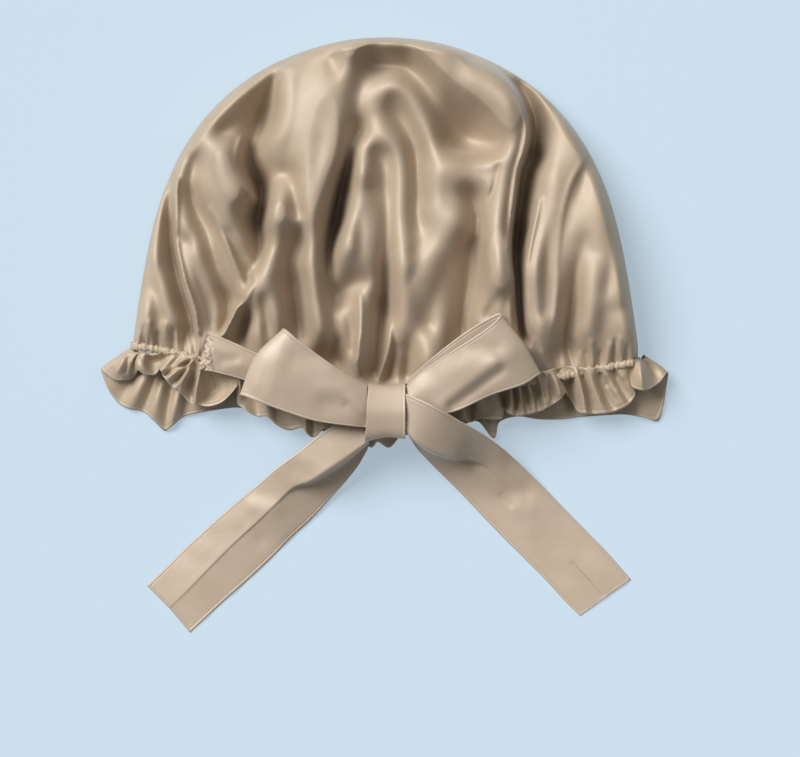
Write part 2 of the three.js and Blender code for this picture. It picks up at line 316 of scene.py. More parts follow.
def layMesh(name, rows, material, loop=False, finished="", tube=False):
    # a mesh over a grid of rows x columns x 3, in metres, with a UV map in metres along columns and rows, and
    # one of the distance to the nearest finished edge; faces turn up over the first half, or away from a
    # tube's middle
    rowCount, colCount = rows.shape[:2]
    cols = colCount if loop else colCount - 1
    r, c = np.meshgrid(np.arange(rowCount - 1), np.arange(cols), indexing="ij")
    a = (r * colCount + c).ravel()
    b = (r * colCount + (c + 1) % colCount).ravel()
    quads = np.column_stack([a, b, b + colCount, a + colCount])
    alongRows = np.linalg.norm(np.diff(rows, axis=0), axis=2).mean(1)
    alongCols = np.linalg.norm(np.diff(rows, axis=1), axis=2).max(0)
    u = np.concatenate([[0], np.cumsum(alongCols)])
    v = np.concatenate([[0], np.cumsum(alongRows)])
    if loop:
        u = np.append(u, u[-1] + alongCols[-1])
    far = np.full((rowCount, len(u)), 1.0)
    if "sides" in finished:
        far = np.minimum(far, np.minimum(v, v[-1] - v)[:, None])
    if finished == "end":
        far = np.minimum(far, (v[-1] - v)[:, None])
    if finished in ("sides and end", "columns"):
        far = np.minimum(far, (u[-1] - u)[None, :])
    flat = rows.reshape(-1, 3)
    normal = np.cross(flat[quads[:, 2]] - flat[quads[:, 0]], flat[quads[:, 3]] - flat[quads[:, 1]])
    outward = (c.ravel() < cols / 2)[:, None] * [0, 0, 1]
    if tube:
        outward = flat[quads].mean(1) - rows.mean(0)[c.ravel()]
    corners = [(r, c), (r, c + 1), (r + 1, c + 1), (r + 1, c)]
    if (normal * outward).sum() < 0:
        quads = quads[:, ::-1]
        corners.reverse()
    uv = np.stack([np.column_stack([u[j].ravel(), v[i].ravel()]) for i, j in corners], axis=1)
    runs = [v[i] if finished == "columns" else u[j] for i, j in corners]
    edgeUV = np.stack([
        np.column_stack([run.ravel(), far[i, j].ravel()]) for run, (i, j) in zip(runs, corners)
    ], axis=1)
    mesh = bpy.data.meshes.new(name)
    mesh.from_pydata(flat.tolist(), [], quads.tolist())
    for layerName, values in (("cloth", uv), ("hem", edgeUV)):
        layer = mesh.uv_layers.new(name=layerName)
        layer.data.foreach_set("uv", values.astype(np.float32).ravel())
    welded = bmesh.new()
    welded.from_mesh(mesh)
    bmesh.ops.remove_doubles(welded, verts=welded.verts, dist=1e-6)
    welded.to_mesh(mesh)
    welded.free()
    mesh.polygons.foreach_set("use_smooth", np.ones(len(mesh.polygons), bool))
    mesh.materials.append(material)
    piece = bpy.data.objects.new(name, mesh)
    bpy.context.scene.collection.objects.link(piece)
    return piece


def clothWall(piece, thickness):
    wall = piece.modifiers.new("wall", "SOLIDIFY")
    wall.thickness = thickness
    wall.offset = -1
    wall.use_rim = True


def dress(piece, node):
    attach(piece, "root")
    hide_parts(node)


# Each fold is a line of (x, y, height) as the cloth lies: a ridge's crest or a hollow's floor.
crown = {
    "columns": 372,
    "backColumns": 44,
    "rows": 226,
    "edgeHeight": 6.0,
    "edgeRound": 9.0,  # how far in from the outline the cloth has risen to its full height
    "rimHeight": 18.5,
    "softTop": 44.0,  # above this the cloth rises only 0.4 as much
    "relief": 1.35,  # how much deeper the folds are than their listed heights, about the broad average
    "crestSigma": 3.8,
    "sharpReach": 2.2,
    "clothSigma": 1.7,
    "crispSigma": 0.6,
    "broadSigma": 22.0,
    "slack": 8.0,  # how far the bent plate may pass the listed points by
    "taper": 24,  # how much narrower each half is at the top
    "roundness": 3.7,
    "outlineFoot": 5,  # how far below nought the outline starts
    "rimHalf": 136.0,
    "sideHeights": ((1, 34.0), (-1, 28.0)),  # the cloth's height along the right and left outline
}
crownFolds = {
    "side ridge": [(-119, 80, 31), (-122, 60, 33), (-121, 48, 33), (-119, 38, 32), (-116, 30, 31),
        (-113, 22, 29), (-111, 14, 28), (-108, 6, 27)],
    "side hollow": [(-127, 38, 25), (-122, 30, 27), (-119, 18, 26), (-117, 8, 24)],
    "side bulge": [(-129, 25, 25), (-126, 14, 28), (-127, 2, 24)],
    "side valley": [(-113.5, 84, 22), (-114, 74, 18), (-113.6, 60, 15), (-113.2, 46, 13), (-111.5, 35, 12),
        (-109.5, 25, 11), (-107, 16, 10), (-104.5, 9, 10), (-103, 2, 11)],
    "valley's right edge": [(-111.5, 82, 31), (-112, 60, 30), (-111, 46, 30), (-108.6, 35, 31),
        (-106.5, 27, 31), (-103.5, 19, 31), (-101, 11, 30), (-100.5, 2, 26)],
    "thin ridge": [(-109.5, 92, 34), (-109.5, 82, 35), (-108.5, 70, 35), (-105, 60, 35), (-101, 52, 35),
        (-101, 45, 35), (-98, 37, 34), (-94.5, 29, 33), (-91.5, 22, 32), (-89.5, 15, 31), (-89, 8, 29),
        (-91, 2, 26)],
    "foot of the thin ridge": [(-111, 54, 28), (-105, 50, 26), (-103, 43, 28), (-99.5, 33, 26),
        (-96, 25, 23), (-92.5, 17, 20), (-91.5, 8, 19), (-93, 3, 18)],
    "left hollow": [(-103, 95, 27), (-104, 86, 25), (-105, 77, 23), (-103, 71, 22), (-99, 60, 23),
        (-95, 50, 24), (-92, 40, 23), (-89, 30, 20), (-87, 22, 16), (-84, 16, 12), (-84, 10, 10),
        (-88, 3, 9)],
    "flat shade": [(-90, 48, 27), (-86, 36, 26), (-82, 26, 24), (-78, 19, 23)],
    "crease ridge": [(-93, 66, 33), (-88, 58, 33), (-84, 50, 33), (-80, 41, 31), (-76.5, 33, 29),
        (-74, 27, 28)],
    "crease foot": [(-83, 56, 31), (-79, 49, 28), (-75, 41, 24), (-72.5, 33, 21), (-71.8, 29, 20)],
    "bulge": [(-94, 92, 36), (-90, 85, 39), (-86, 74, 39), (-82, 66, 38), (-78, 58, 38), (-74, 48, 37),
        (-71, 38, 35)],
    "bulge left": [(-99, 82, 34), (-97, 72, 34)],
    "lip": [(-70.5, 33, 32), (-71.3, 27, 32), (-73.5, 21, 32), (-75, 17.5, 31), (-79, 14.5, 31),
        (-81.5, 10, 31), (-84.5, 5, 30), (-87, 1, 28)],
    "under the lip": [(-74, 14, 22), (-77, 9, 19), (-79, 3, 16), (-79, -2, 12)],
    "lip right": [(-72.4, 14, 16), (-72.6, 6, 14), (-76, -2, 12)],
    "outline ridge": [(-108, 95, 32), (-101, 107, 34), (-95, 114, 34), (-88, 121, 34), (-80, 127.5, 34),
        (-71, 134, 34), (-62, 141, 33), (-57, 145, 32)],
    "upper hollow": [(-57, 141, 27), (-60, 133, 23), (-62, 122, 20), (-65, 112, 18), (-70, 105, 18)],
    "upper hollow slope": [(-70, 126, 27), (-77, 116, 26), (-86, 107, 28)],
    "pocket edge": [(-76, 104, 31), (-77, 95, 33), (-76.2, 88, 34), (-72.8, 80, 35), (-69.6, 73, 35)],
    "pocket": [(-74.5, 103, 20), (-74.8, 95, 19), (-73, 88, 18), (-70, 82, 13), (-67.6, 76, 8),
        (-67, 70, 8), (-66.8, 60, 13), (-67.6, 50, 15), (-68.6, 42, 17), (-69.4, 36, 20)],
    "pocket floor": [(-69, 95, 24), (-66, 89, 23), (-64, 84, 19)],
    "pocket right": [(-64, 101, 32), (-61, 95, 33), (-59.5, 90, 31), (-56, 86, 30), (-51, 85, 31)],
    "left of the panel": [(-52, 146, 33), (-53.5, 138, 38), (-53.5, 128, 40), (-54.5, 118, 40),
        (-57, 110, 39), (-60, 104, 37)],
    "panel's step": [(-49, 140, 36), (-49, 125, 39), (-50.5, 110, 39.5), (-52, 98, 37)],
    "arch lip": [(-60, 78, 36), (-62, 66, 38), (-62.5, 58, 38), (-58, 52, 38), (-62, 44, 37),
        (-65.5, 36, 36), (-68, 28, 35), (-69.3, 18, 34), (-70.5, 8, 31), (-73, 0, 26)],
    "arch top": [(-44.5, 60, 37), (-49, 59.5, 37), (-54, 56, 37)],
    "arch hollow": [(-48, 55, 31), (-50.5, 48, 26), (-51.2, 40, 22), (-51, 30, 19), (-50, 20, 17),
        (-49.3, 10, 15), (-49, 2, 14)],
    "arch hollow left": [(-56, 45, 32), (-56.5, 35, 31), (-55.5, 24, 29)],
    "lower shade": [(-65, 20, 27), (-64.5, 10, 24), (-63, 1, 21)],
    "low ridge": [(-60, 30, 34), (-58, 20, 33), (-56.5, 12, 32), (-55, 3, 29)],
    "panel left": [(-42, 143, 35), (-42, 125, 40), (-42, 105, 42), (-43.5, 90, 42), (-43, 78, 42),
        (-41.5, 66, 42), (-40.5, 55, 42), (-40.5, 42, 41), (-40.5, 30, 39), (-39, 20, 37), (-37.5, 10, 35),
        (-36.5, 0, 31)],
    "panel left foot": [(-48, 78, 35), (-46, 68, 34), (-44, 58, 31), (-43, 50, 29), (-44.6, 38, 30),
        (-43.4, 30, 27), (-43, 18, 22), (-41.5, 8, 20), (-41, -1, 18)],
    "panel middle": [(-34, 147, 35), (-33, 130, 41.6), (-32.6, 110, 42.6), (-34, 90, 42.8), (-37, 75, 43),
        (-37.5, 60, 42.5), (-37.5, 45, 41), (-37, 30, 38.5), (-36, 15, 35.5)],
    "panel right": [(-26, 147, 36), (-23.6, 136, 40), (-22.4, 122, 41.5), (-22, 110, 41.5),
        (-22.6, 100, 41.4), (-24.6, 90, 41), (-28, 79, 40.4), (-31.2, 68, 40), (-33.4, 55, 39),
        (-34.6, 42, 37), (-33.6, 28, 34), (-32, 12, 31), (-30, 0, 28)],
    "panel's right valley": [(-13, 145, 35.4), (-13.6, 138, 35.6), (-14.6, 129, 35.4), (-16, 119, 34.6),
        (-17.4, 109, 32), (-18.4, 99, 27), (-19.6, 91, 19), (-21.5, 82, 10), (-23.5, 74, 7), (-26, 65, 6),
        (-28, 56, 7), (-29.6, 48, 12), (-29.8, 40, 16), (-29.4, 30, 18), (-28.6, 20, 19), (-27.6, 10, 19),
        (-25.6, 1, 18), (-23.4, -7, 15), (-21, -14, 12)],
    "pocket's far wall": [(-25.5, 56, 14), (-23, 66, 12)],
    "inner arch": [(-26.2, 30, 31), (-26.6, 38, 34), (-26.2, 45, 36), (-24, 54, 37), (-21.8, 62, 38),
        (-20.5, 70, 38), (-19, 79, 38), (-17, 87, 38), (-15, 95, 38.5), (-12, 101, 39), (-7, 106, 39.5),
        (-1, 107, 39.5), (4, 105, 39), (8, 100, 39), (9.5, 93, 39), (9, 83, 39), (8, 72, 39), (6.6, 61, 39),
        (5, 50, 38), (4, 40, 37), (4.5, 28, 35), (6, 18, 34), (8, 8, 32), (9, -3, 29)],
    "inner left leg": [(-16.5, 80, 38), (-17, 68, 39), (-16, 58, 39), (-14, 48, 38), (-12, 40, 36)],
    "arch floor top": [(-7, 99, 33.6), (-5, 93, 32.6), (-3.4, 85, 32.4)],
    "arch floor": [(3.6, 97, 34), (4.6, 88, 33), (4.2, 78, 32), (3.4, 66, 31), (2.6, 56, 29), (1.4, 46, 26),
        (0.2, 36, 21), (-0.8, 26, 16), (-1, 16, 12), (-1.6, 8, 11), (-2.6, -2, 12), (-4, -12, 12),
        (-5.6, -21, 11)],
    "arch floor's left": [(-9, 78, 36), (-5.5, 70, 36), (-4, 60, 36), (-3.4, 48, 35), (-3.2, 36, 33),
        (-3.4, 24, 31)],
    "panel step": [(-24, 37, 34), (-18, 38, 35), (-11, 36, 35)],
    "panel step foot": [(-25, 27, 25), (-20, 29, 24), (-14, 28, 26), (-8, 29, 29)],
    "under panel left": [(-22, 15, 24), (-18, 6, 21), (-17, -4, 16), (-17.8, -10, 12)],
    "under ridge": [(-26, 12, 26), (-24.5, 4, 27), (-22, -4, 26), (-20, -12, 23), (-17.5, -18, 19)],
    "under panel edge": [(-14.2, 21, 29), (-13.6, 12, 30), (-14, 2, 30), (-15.4, -6, 29), (-15.8, -13, 26),
        (-14, -20, 21)],
    "under panel": [(-8, 18, 32), (-7, 8, 28), (-7.5, -1, 27), (-8.5, -8, 29), (-9.5, -15, 26)],
    "narrow strip": [(2.4, 8, 26), (2.4, 0, 29), (2, -8, 28), (0, -15, 25), (-2.5, -22, 20)],
    "strip's right": [(4, 10, 26), (4.9, 0, 24), (5, -7, 19), (3.6, -13, 12), (1.4, -19, 9), (0, -24, 9)],
    "lower right strip": [(7, -10, 27), (6.5, -20, 22)],
    "lower dark": [(12, 0, 26), (12.4, -9, 18), (12, -16, 12), (11, -22, 10)],
    "lower right light": [(20, -2, 29), (18, -10, 27), (15, -18, 22)],
    "outer arch": [(-9, 106, 35), (-7.5, 113, 37), (-6.5, 121, 38), (-4, 128, 38.5), (0, 133.5, 39),
        (5, 136, 39.5), (10, 133, 39.5), (14, 127.5, 39.5), (18.5, 120, 39), (22, 113, 39),
        (25.5, 105, 38.5), (29, 98, 38), (34, 93.5, 38), (43, 92.2, 38), (52, 92.2, 38), (58, 91, 38)],
    "outer arch left shade": [(-13, 113, 29), (-14.5, 105, 27)],
    "between arches": [(4, 127, 34), (8.5, 121, 31), (11.5, 113, 28), (13.6, 104, 26), (15.4, 94, 26),
        (16.6, 84, 27), (17.4, 74, 27), (17.2, 64, 28), (15.5, 55, 31)],
    "between arches light": [(0, 117, 34), (0, 111, 37)],
    "arches' meeting": [(14, 44, 35), (18, 38, 35), (13, 30, 35), (10, 18, 34), (9.6, 6, 31)],
    "outer arch body": [(23, 88, 36), (25, 76, 37), (28, 66, 37), (29, 56, 37), (30, 48, 36)],
    "peak": [(-8, 158.5, 48), (-10.4, 154, 46), (-14, 149, 44), (-19, 141, 43.4), (-24, 134, 43)],
    "peak's right": [(-6.4, 157.4, 46), (-2.6, 154.4, 43), (3, 152.8, 42), (9, 152.8, 42), (13, 154.6, 43),
        (20, 150.4, 44), (28, 144.4, 45), (38, 138, 46), (48, 131.4, 47), (56, 124, 47), (62, 116, 46.4),
        (64.6, 107, 45)],
    "edge band": [(65.4, 98, 43), (63.6, 90, 42), (61.5, 82, 41), (59, 74, 40), (56, 66, 40), (54, 56, 39),
        (54, 44, 39), (54, 32, 37), (54, 22, 35)],
    "top valley": [(-13, 150, 34), (-10, 147, 30), (-4, 144.4, 28), (4, 143.4, 28), (10, 142, 29),
        (16, 136.5, 30), (21, 128, 31), (24.6, 119, 30.5), (29, 110.5, 28)],
    "great hollow foot": [(31.5, 103, 26.6), (38, 98.6, 25), (46, 98, 24), (53, 99, 23.6),
        (58.6, 102.4, 23)],
    "overlap edge": [(75.6, -3, 24), (71.8, 2, 27), (70.4, 10, 30), (69.6, 20, 33), (69, 30, 34),
        (67.6, 38, 35), (66.8, 48, 36), (67.4, 58, 37), (68.4, 68, 38), (69.6, 78, 38), (71.2, 88, 38),
        (74, 97, 38.5), (75.6, 106, 39), (75.2, 114, 39), (73, 122, 38), (68.4, 131, 36), (62, 139, 34),
        (55, 146, 32)],
    "behind the edge": [(69.6, 112, 39.5), (69, 100, 39), (66.4, 86, 39), (64.4, 70, 38.5), (63.6, 54, 38)],
    "under the overlap": [(57, 147, 27), (64, 141, 23), (71, 133, 18), (76.6, 124, 15), (79.4, 115, 14),
        (80, 107, 14), (77.2, 97, 15), (73.6, 88, 15), (71.9, 78, 14), (70.7, 68, 12), (69.4, 58, 9),
        (69, 48, 8), (69.8, 38, 8), (71, 30, 9), (71.8, 20, 7), (72.6, 10, 5), (73.6, 2, 5), (76.4, -3, 7)],
    "overlap's far wall": [(79, 90, 25), (77.4, 76, 25), (74, 62, 19)],
    "shoulder": [(92, 124, 31), (90, 116, 31), (91, 108, 32), (88, 98, 33), (84, 90, 33)],
    "shoulder slope": [(80, 131, 26), (82, 120, 20), (84, 111, 22), (82, 102, 24)],
    "small arch": [(22, 66, 36), (26, 73, 37), (32, 79, 38), (38, 82.5, 38), (46, 84, 38), (52, 81, 38),
        (55.6, 77, 37)],
    "above small arch": [(38, 87, 36.5), (48, 87.4, 35.5), (54, 86, 35)],
    "small arch floor": [(42, 78, 32), (46.5, 76, 28), (48.5, 70, 25), (49.6, 64, 23), (48.6, 56, 22.6),
        (47.4, 48, 22), (46.2, 38, 20), (45, 28, 18), (43.8, 18, 16), (43.2, 8, 15), (42.4, 0, 15)],
    "flap edge": [(59.2, 91, 38), (58.6, 84, 37.4), (56.4, 77, 36.6), (53.4, 70, 35.6), (51.4, 64, 33)],
    "flap foot": [(60.6, 90, 35.4), (60, 84, 34.6), (58, 77, 33.6), (55.2, 70, 32), (52.6, 62, 31)],
    "fine crease": [(42.5, 70, 33), (44.6, 64, 33), (46.4, 58, 31), (47.6, 53, 28)],
    "slope line": [(35, 51, 37), (29, 43, 36), (22.5, 35, 35.5), (17, 27, 35), (13.6, 19, 34)],
    "slope foot": [(42, 44, 25), (40, 32, 24), (38.5, 20, 23), (36, 8, 23), (33, -3, 23)],
    "slope middle": [(34, 40, 30.5), (29, 26, 29), (26, 14, 27)],
    "soft notch": [(24, 8, 25), (25.6, 3, 25)],
    "light patch": [(30, 8, 29), (31, 1, 29)],
    "dark notch": [(58, 18, 31), (54.6, 13.5, 28), (52, 9.5, 26)],
    "notch edge": [(62, 22, 36), (61, 16, 36), (58.6, 12, 34)],
    "notch left": [(55, 20, 36), (50.4, 13, 34), (48, 6, 32)],
    "thin ridge at the edge": [(67.4, 20, 33), (66.6, 12, 32), (66, 5, 30)],
    "right panel": [(81.5, 72, 35), (79.4, 62, 36), (76.8, 52, 36), (74.8, 43, 36), (73.4, 36, 35.4),
        (73.2, 26, 35), (74.2, 16, 34), (75.2, 6, 31), (77, -3, 26)],
    "right panel middle": [(95, 96, 35), (90, 80, 37), (87, 62, 37), (84, 44, 37), (83, 26, 36),
        (83, 10, 33)],
    "right crease": [(107, 94, 34), (101.6, 85, 36), (98.4, 78, 36.6), (95.8, 69, 37), (94, 60, 37),
        (92.8, 50, 37), (92, 40, 36.6), (91.8, 30, 36), (91, 20, 35), (90, 8, 33), (88.6, -4, 28)],
    "right crease foot": [(109, 93, 32), (103.6, 84, 33), (100.4, 77, 34), (97.6, 68, 35), (95.5, 59, 35.4),
        (94.3, 50, 35.4), (93.4, 40, 35), (93.2, 30, 34), (92.4, 20, 33), (91.6, 8, 30), (90.4, -4, 24)],
    "narrow panel": [(102, 66, 36), (99, 50, 36.4), (97, 36, 35.4), (95.6, 22, 33.6), (94, 8, 31),
        (92.6, -3, 26)],
    "next valley": [(105.6, 52, 35), (104, 42, 33), (102.4, 34, 29), (101, 27, 25), (100.4, 20, 22),
        (99.8, 12, 19), (98.8, 4, 17), (97, -4, 15)],
    "end panel edge": [(107, 48, 34.6), (105.6, 36, 34.6), (104.6, 24, 34), (103.6, 12, 32),
        (101.6, 0, 28)],
    "end panel": [(111, 86, 36), (114, 66, 38), (116, 50, 38), (114, 30, 37), (113, 14, 34), (113, 0, 28)],
    "end hollow": [(119, 60, 36.6), (120, 40, 35), (118, 24, 33)],
    "end bulge": [(125, 42, 37), (126, 24, 36), (124, 6, 30)],
    "soft dent": [(110, 47, 35.4), (114, 42, 35)],
    "soft diagonal": [(118, 10, 30), (128, 16, 31)],
}

# each gather is a crease: its ends in plan, its half width and its height
crownGathers = [
    (-132, 1, -131, -8, 1.2, 1.0), (-129, 4, -128, -8, 1.2, -1.2), (-125, 7, -124.6, -8, 1.6, 1.3),
    (-121.4, 1, -121, -8, 1.2, -1.3), (-117, 6, -117, -9, 1.7, 1.2), (-113, 3, -113.6, -9, 1.2, -1.2),
    (-111, 0, -110, -9, 1.2, 1.0), (-108, 5, -107, -10, 1.1, -1.4), (-106, 1, -104, -10, 1.3, 1.1),
    (-102, 2, -101.6, -11, 1.1, -1.3), (-98.6, 3, -100, -12, 1.1, 1.0), (-94, 0, -98.6, -14, 1.0, -1.2),
    (80, -5, 84, -18, 1.3, -1.3), (84, -9, 88, -18, 1.5, 1.1), (88, -8, 92.5, -18, 1.1, -1.4),
    (94, -3, 96, -15, 1.6, 1.1), (98, -7, 100, -16, 1.1, -1.3), (104, -10, 104.6, -17, 1.4, 1.0),
    (107, -9, 108, -17, 1.2, -1.2), (110, -4, 111, -15, 1.7, 1.2), (115, -9, 115, -17, 1.1, -1.4),
    (120, -5, 118.5, -16, 1.7, 1.2), (123, -3, 122, -15, 1.2, -1.5), (125, -2, 125.5, -14, 1.6, 1.3),
    (129, -6, 129, -14, 1.2, -1.3), (132.5, 0, 132, -13, 1.2, 1.1),
]
sharpFolds = ("overlap edge", "lip", "crease ridge", "flap edge", "right crease", "under panel edge",
    "right panel", "pocket edge", "valley's right edge", "narrow strip", "thin ridge at the edge")


def outlineHalf(up):
    # half the crown's width, up from 0 at the gathered edge to 1 at the top: a tapering super-oval
    low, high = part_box("crown")
    half = (high.x - low.x) / 2 / mm
    return (half - crown["taper"] * up) * np.sqrt(np.clip(1 - up ** crown["roundness"], 0, None))


def rimLine(share, front):
    # the gathered edge's y at a share of the half width, fuller on the left:
    # -8.2 - 4.2 share - dip * (1 - share^2)^p
    dip = np.where(front, 20.3, 12.0)
    power = 1.2 + 0.5 * np.clip(-share, 0, None)
    return -8.2 - 4.2 * share - dip * np.clip(1 - share**2, 0, None) ** power


def pleatSet(count, seed):
    # places, widths, heights and lengths of the small gathers along the casing
    r = np.random.default_rng(seed)
    place = np.linspace(-1, 1, count) + r.uniform(-0.35, 0.35, count) * 2 / count
    height = r.uniform(0.3, 1.0, count) * (0.8 + 1.5 * np.abs(place))
    return place, r.uniform(0.8, 1.9, count), height, r.uniform(3, 12, count)


def gathers(share, distance, halfWidth, pleats):
    # sum over the pleats of height * exp(-(across / width)^2) * exp(-distance / length)
    total = np.zeros_like(share)
    for place, width, height, length in zip(*pleats):
        across = (share - place) * halfWidth / (width + distance * 0.09)
        total += height * np.exp(-across**2) * np.exp(-distance / length)
    return total


def fineWrinkles(x, y, seed, count, wavelength, height):
    # sum of sines over random directions near the folds' own run, each height / sqrt(count) high
    r = np.random.default_rng(seed)
    total = np.zeros_like(x)
    waves = zip(r.normal(0, 0.5, count), r.uniform(0.6, 1.6, count), r.uniform(0, 6.28, count))
    for angle, long, phase in waves:
        across = x * np.cos(angle) + 0.45 * y * np.sin(angle)
        whole = wavelength * long
        total += np.sin(2 * np.pi * across / whole + phase + 0.8 * np.sin(y / whole))
    return total * height / np.sqrt(count)


def creases(x, y, marks):
    # sum over the marks of height * exp(-(distance to the mark's segment / width)^2)
    total = np.zeros_like(x)
    for x0, y0, x1, y1, width, height in marks:
        dx, dy = x1 - x0, y1 - y0
        t = np.clip(((x - x0) * dx + (y - y0) * dy) / (dx * dx + dy * dy), 0, 1)
        near = (x - x0 - t * dx) ** 2 + (y - y0 - t * dy) ** 2
        total += height * np.exp(-near / width**2)
    return total


def makeCrown():
    spacing = 2.6
    lines = [catmullRom(points, spacing) for points in crownFolds.values()]
    sharp = np.vstack([catmullRom(crownFolds[name], 0.8) for name in sharpFolds])[:, :2]
    rimShares = np.linspace(-0.94, 0.94, 40)
    top, foot = cadHigh.y / mm, crown["outlineFoot"]
    rimHeights = np.full(40, crown["rimHeight"])
    edge = np.column_stack([rimShares * crown["rimHalf"], rimLine(rimShares, True), rimHeights])
    up = np.linspace(0.05, 0.93, 20)
    outer = np.column_stack([outlineHalf(up), up * (top + foot) - foot])
    border = np.vstack([
        np.column_stack([side * outer[:, 0], outer[:, 1], np.full(20, height)])
        for side, height in crown["sideHeights"]
    ])
    crest = np.array([(-50, 149, 29), (50, 148.5, 30)])
    known = np.vstack([*lines, edge, border, crest])
    apart = np.round(known[:, :2]).astype(int)
    known = known[np.unique(apart, axis=0, return_index=True)[1]]
    heightOver = plateThrough(known[:, :2], known[:, 2:], crown["slack"])

    cols, backCols, rows = crown["columns"], crown["backColumns"], crown["rows"]
    t = np.linspace(0, 1, cols, endpoint=False)
    shareFront = 0.45 * np.cos(np.pi * t) + 0.55 * (1 - 2 * t)
    shareBack = -np.cos(np.linspace(0, np.pi, backCols, endpoint=False))
    t = np.linspace(0, 1, rows)
    k = (0.04 * t + 0.96 * np.sin(np.pi / 2 * t))[:, None]

    def plan(share, front):
        low = rimLine(share, front)[None, :]
        y = low + (top - low) * k
        up = np.clip((y + foot) / (top + foot), 0, 1)
        return outlineHalf(up) * share[None, :], y, y - low

    def rise(x, y):
        # quarter round from the outline inwards; the distance to it is g / |slope of g|, where
        # g = 1 - (x / half)^2 - up^roundness is nought on the outline
        up = np.clip((y + foot) / (top + foot), 0, 1)
        power, taper = crown["roundness"], crown["taper"]
        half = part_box("crown")[1].x / mm - taper * up
        g = np.clip(1 - (x / half) ** 2 - up**power, 0, None)
        slopeX = 2 * x / half**2
        slopeY = (power * up ** (power - 1) + 2 * taper * x**2 / half**3) / (top + foot) + 1e-6
        q = 1 - np.clip(g / np.hypot(slopeX, slopeY) / crown["edgeRound"], 0, 1)
        return np.sqrt(np.clip(1 - q**2, 0, None))

    xf, yf, above = plan(shareFront, True)
    xb, yb, aboveBack = plan(shareBack, False)
    gx = np.linspace(-138, 138, 300)
    gy = np.linspace(-34, top + 1, 212)
    planX, planY = np.meshgrid(gx, gy)
    over = heightOver(np.column_stack([planX.ravel(), planY.ravel()]))[:, 0].reshape(planX.shape)
    over = restCrests(gx, gy, over, sharp)
    broad = gaussRows(gy, crown["broadSigma"]) @ over @ gaussRows(gx, crown["broadSigma"]).T
    over = broad + crown["relief"] * (over - broad)
    over = np.minimum(over, crown["softTop"] + 0.4 * (over - crown["softTop"]))
    h = sampleGrid(gx, gy, over, xf, yf) + fineWrinkles(xf, yf, 5, 9, 15.0, 0.3)
    pleats = pleatSet(92, 7)
    h = h + gathers(np.broadcast_to(shareFront, xf.shape), above, crown["rimHalf"], pleats)
    h = h + creases(xf, yf, crownGathers)
    edgeZ = crown["edgeHeight"]
    zf = edgeZ + (h - edgeZ) * rise(xf, yf)
    zb = edgeZ - (edgeZ - 0.2) * rise(xb, yb)
    grid = np.concatenate([np.stack([xf, yf, zf], 2), np.stack([xb, yb, zb], 2)], axis=1) * mm
    piece = layMesh("crown_cloth", grid, crownSatin, loop=True)
    dress(piece, "crown")
    print("crown:", len(known), "fold points, height", round(float(zf.max()), 1), "mm")
    return piece, grid[0] / mm


crownPiece, crownEdge = makeCrown()


def spline(points, steps, closed=False):
    # a smooth line through whole rows of points, one cubic for each span
    p = np.asarray(points, float)
    if closed:
        p = np.concatenate([p[-1:], p, p[:2]])
    else:
        p = np.concatenate([2 * p[:1] - p[1:2], p, 2 * p[-1:] - p[-2:-1]])
    a, b, c, d = (v[:, None] for v in (p[:-3], p[1:-2], p[2:-1], p[3:]))
    t = np.linspace(0, 1, steps, endpoint=False).reshape(1, -1, *[1] * (p.ndim - 1))
    line = cubic(a, b, c, d, t).reshape(-1, *p.shape[1:])
    return line if closed else np.concatenate([line, p[-2:-1]])


def evenRows(grid, count, softness):
    # respaces the rows evenly over their mean distances, then averages neighbours: sum of w * p, w Gaussian
    lengths = np.linalg.norm(np.diff(grid, axis=0), axis=2).mean(1)
    at = np.concatenate([[0], np.cumsum(lengths)])
    to = np.linspace(0, at[-1], count)
    j = np.clip(np.searchsorted(at, to, side="right") - 1, 0, len(at) - 2)
    part = ((to - at[j]) / (at[j + 1] - at[j]))[:, None, None]
    rows = grid[j] * (1 - part) + grid[j + 1] * part
    if softness > 0:
        soft = np.tensordot(gaussRows(to, softness), rows, axes=1)
        keep = np.clip(np.minimum(to, at[-1] - to) / (2 * softness), 0, 1)[:, None, None]
        rows = rows * (1 - keep) + soft * keep
    return rows


casing = {
    "columns": 900,
    "sides": 12,
    "across": 2.1,  # half its width, seen from above
    "thick": 1.3,
    "below": 1.4,  # how far its middle lies below the crown's edge
    "pucker": 0.42,
    "seamGap": 0.02,  # how much of half a turn is left open along the seam underneath
}


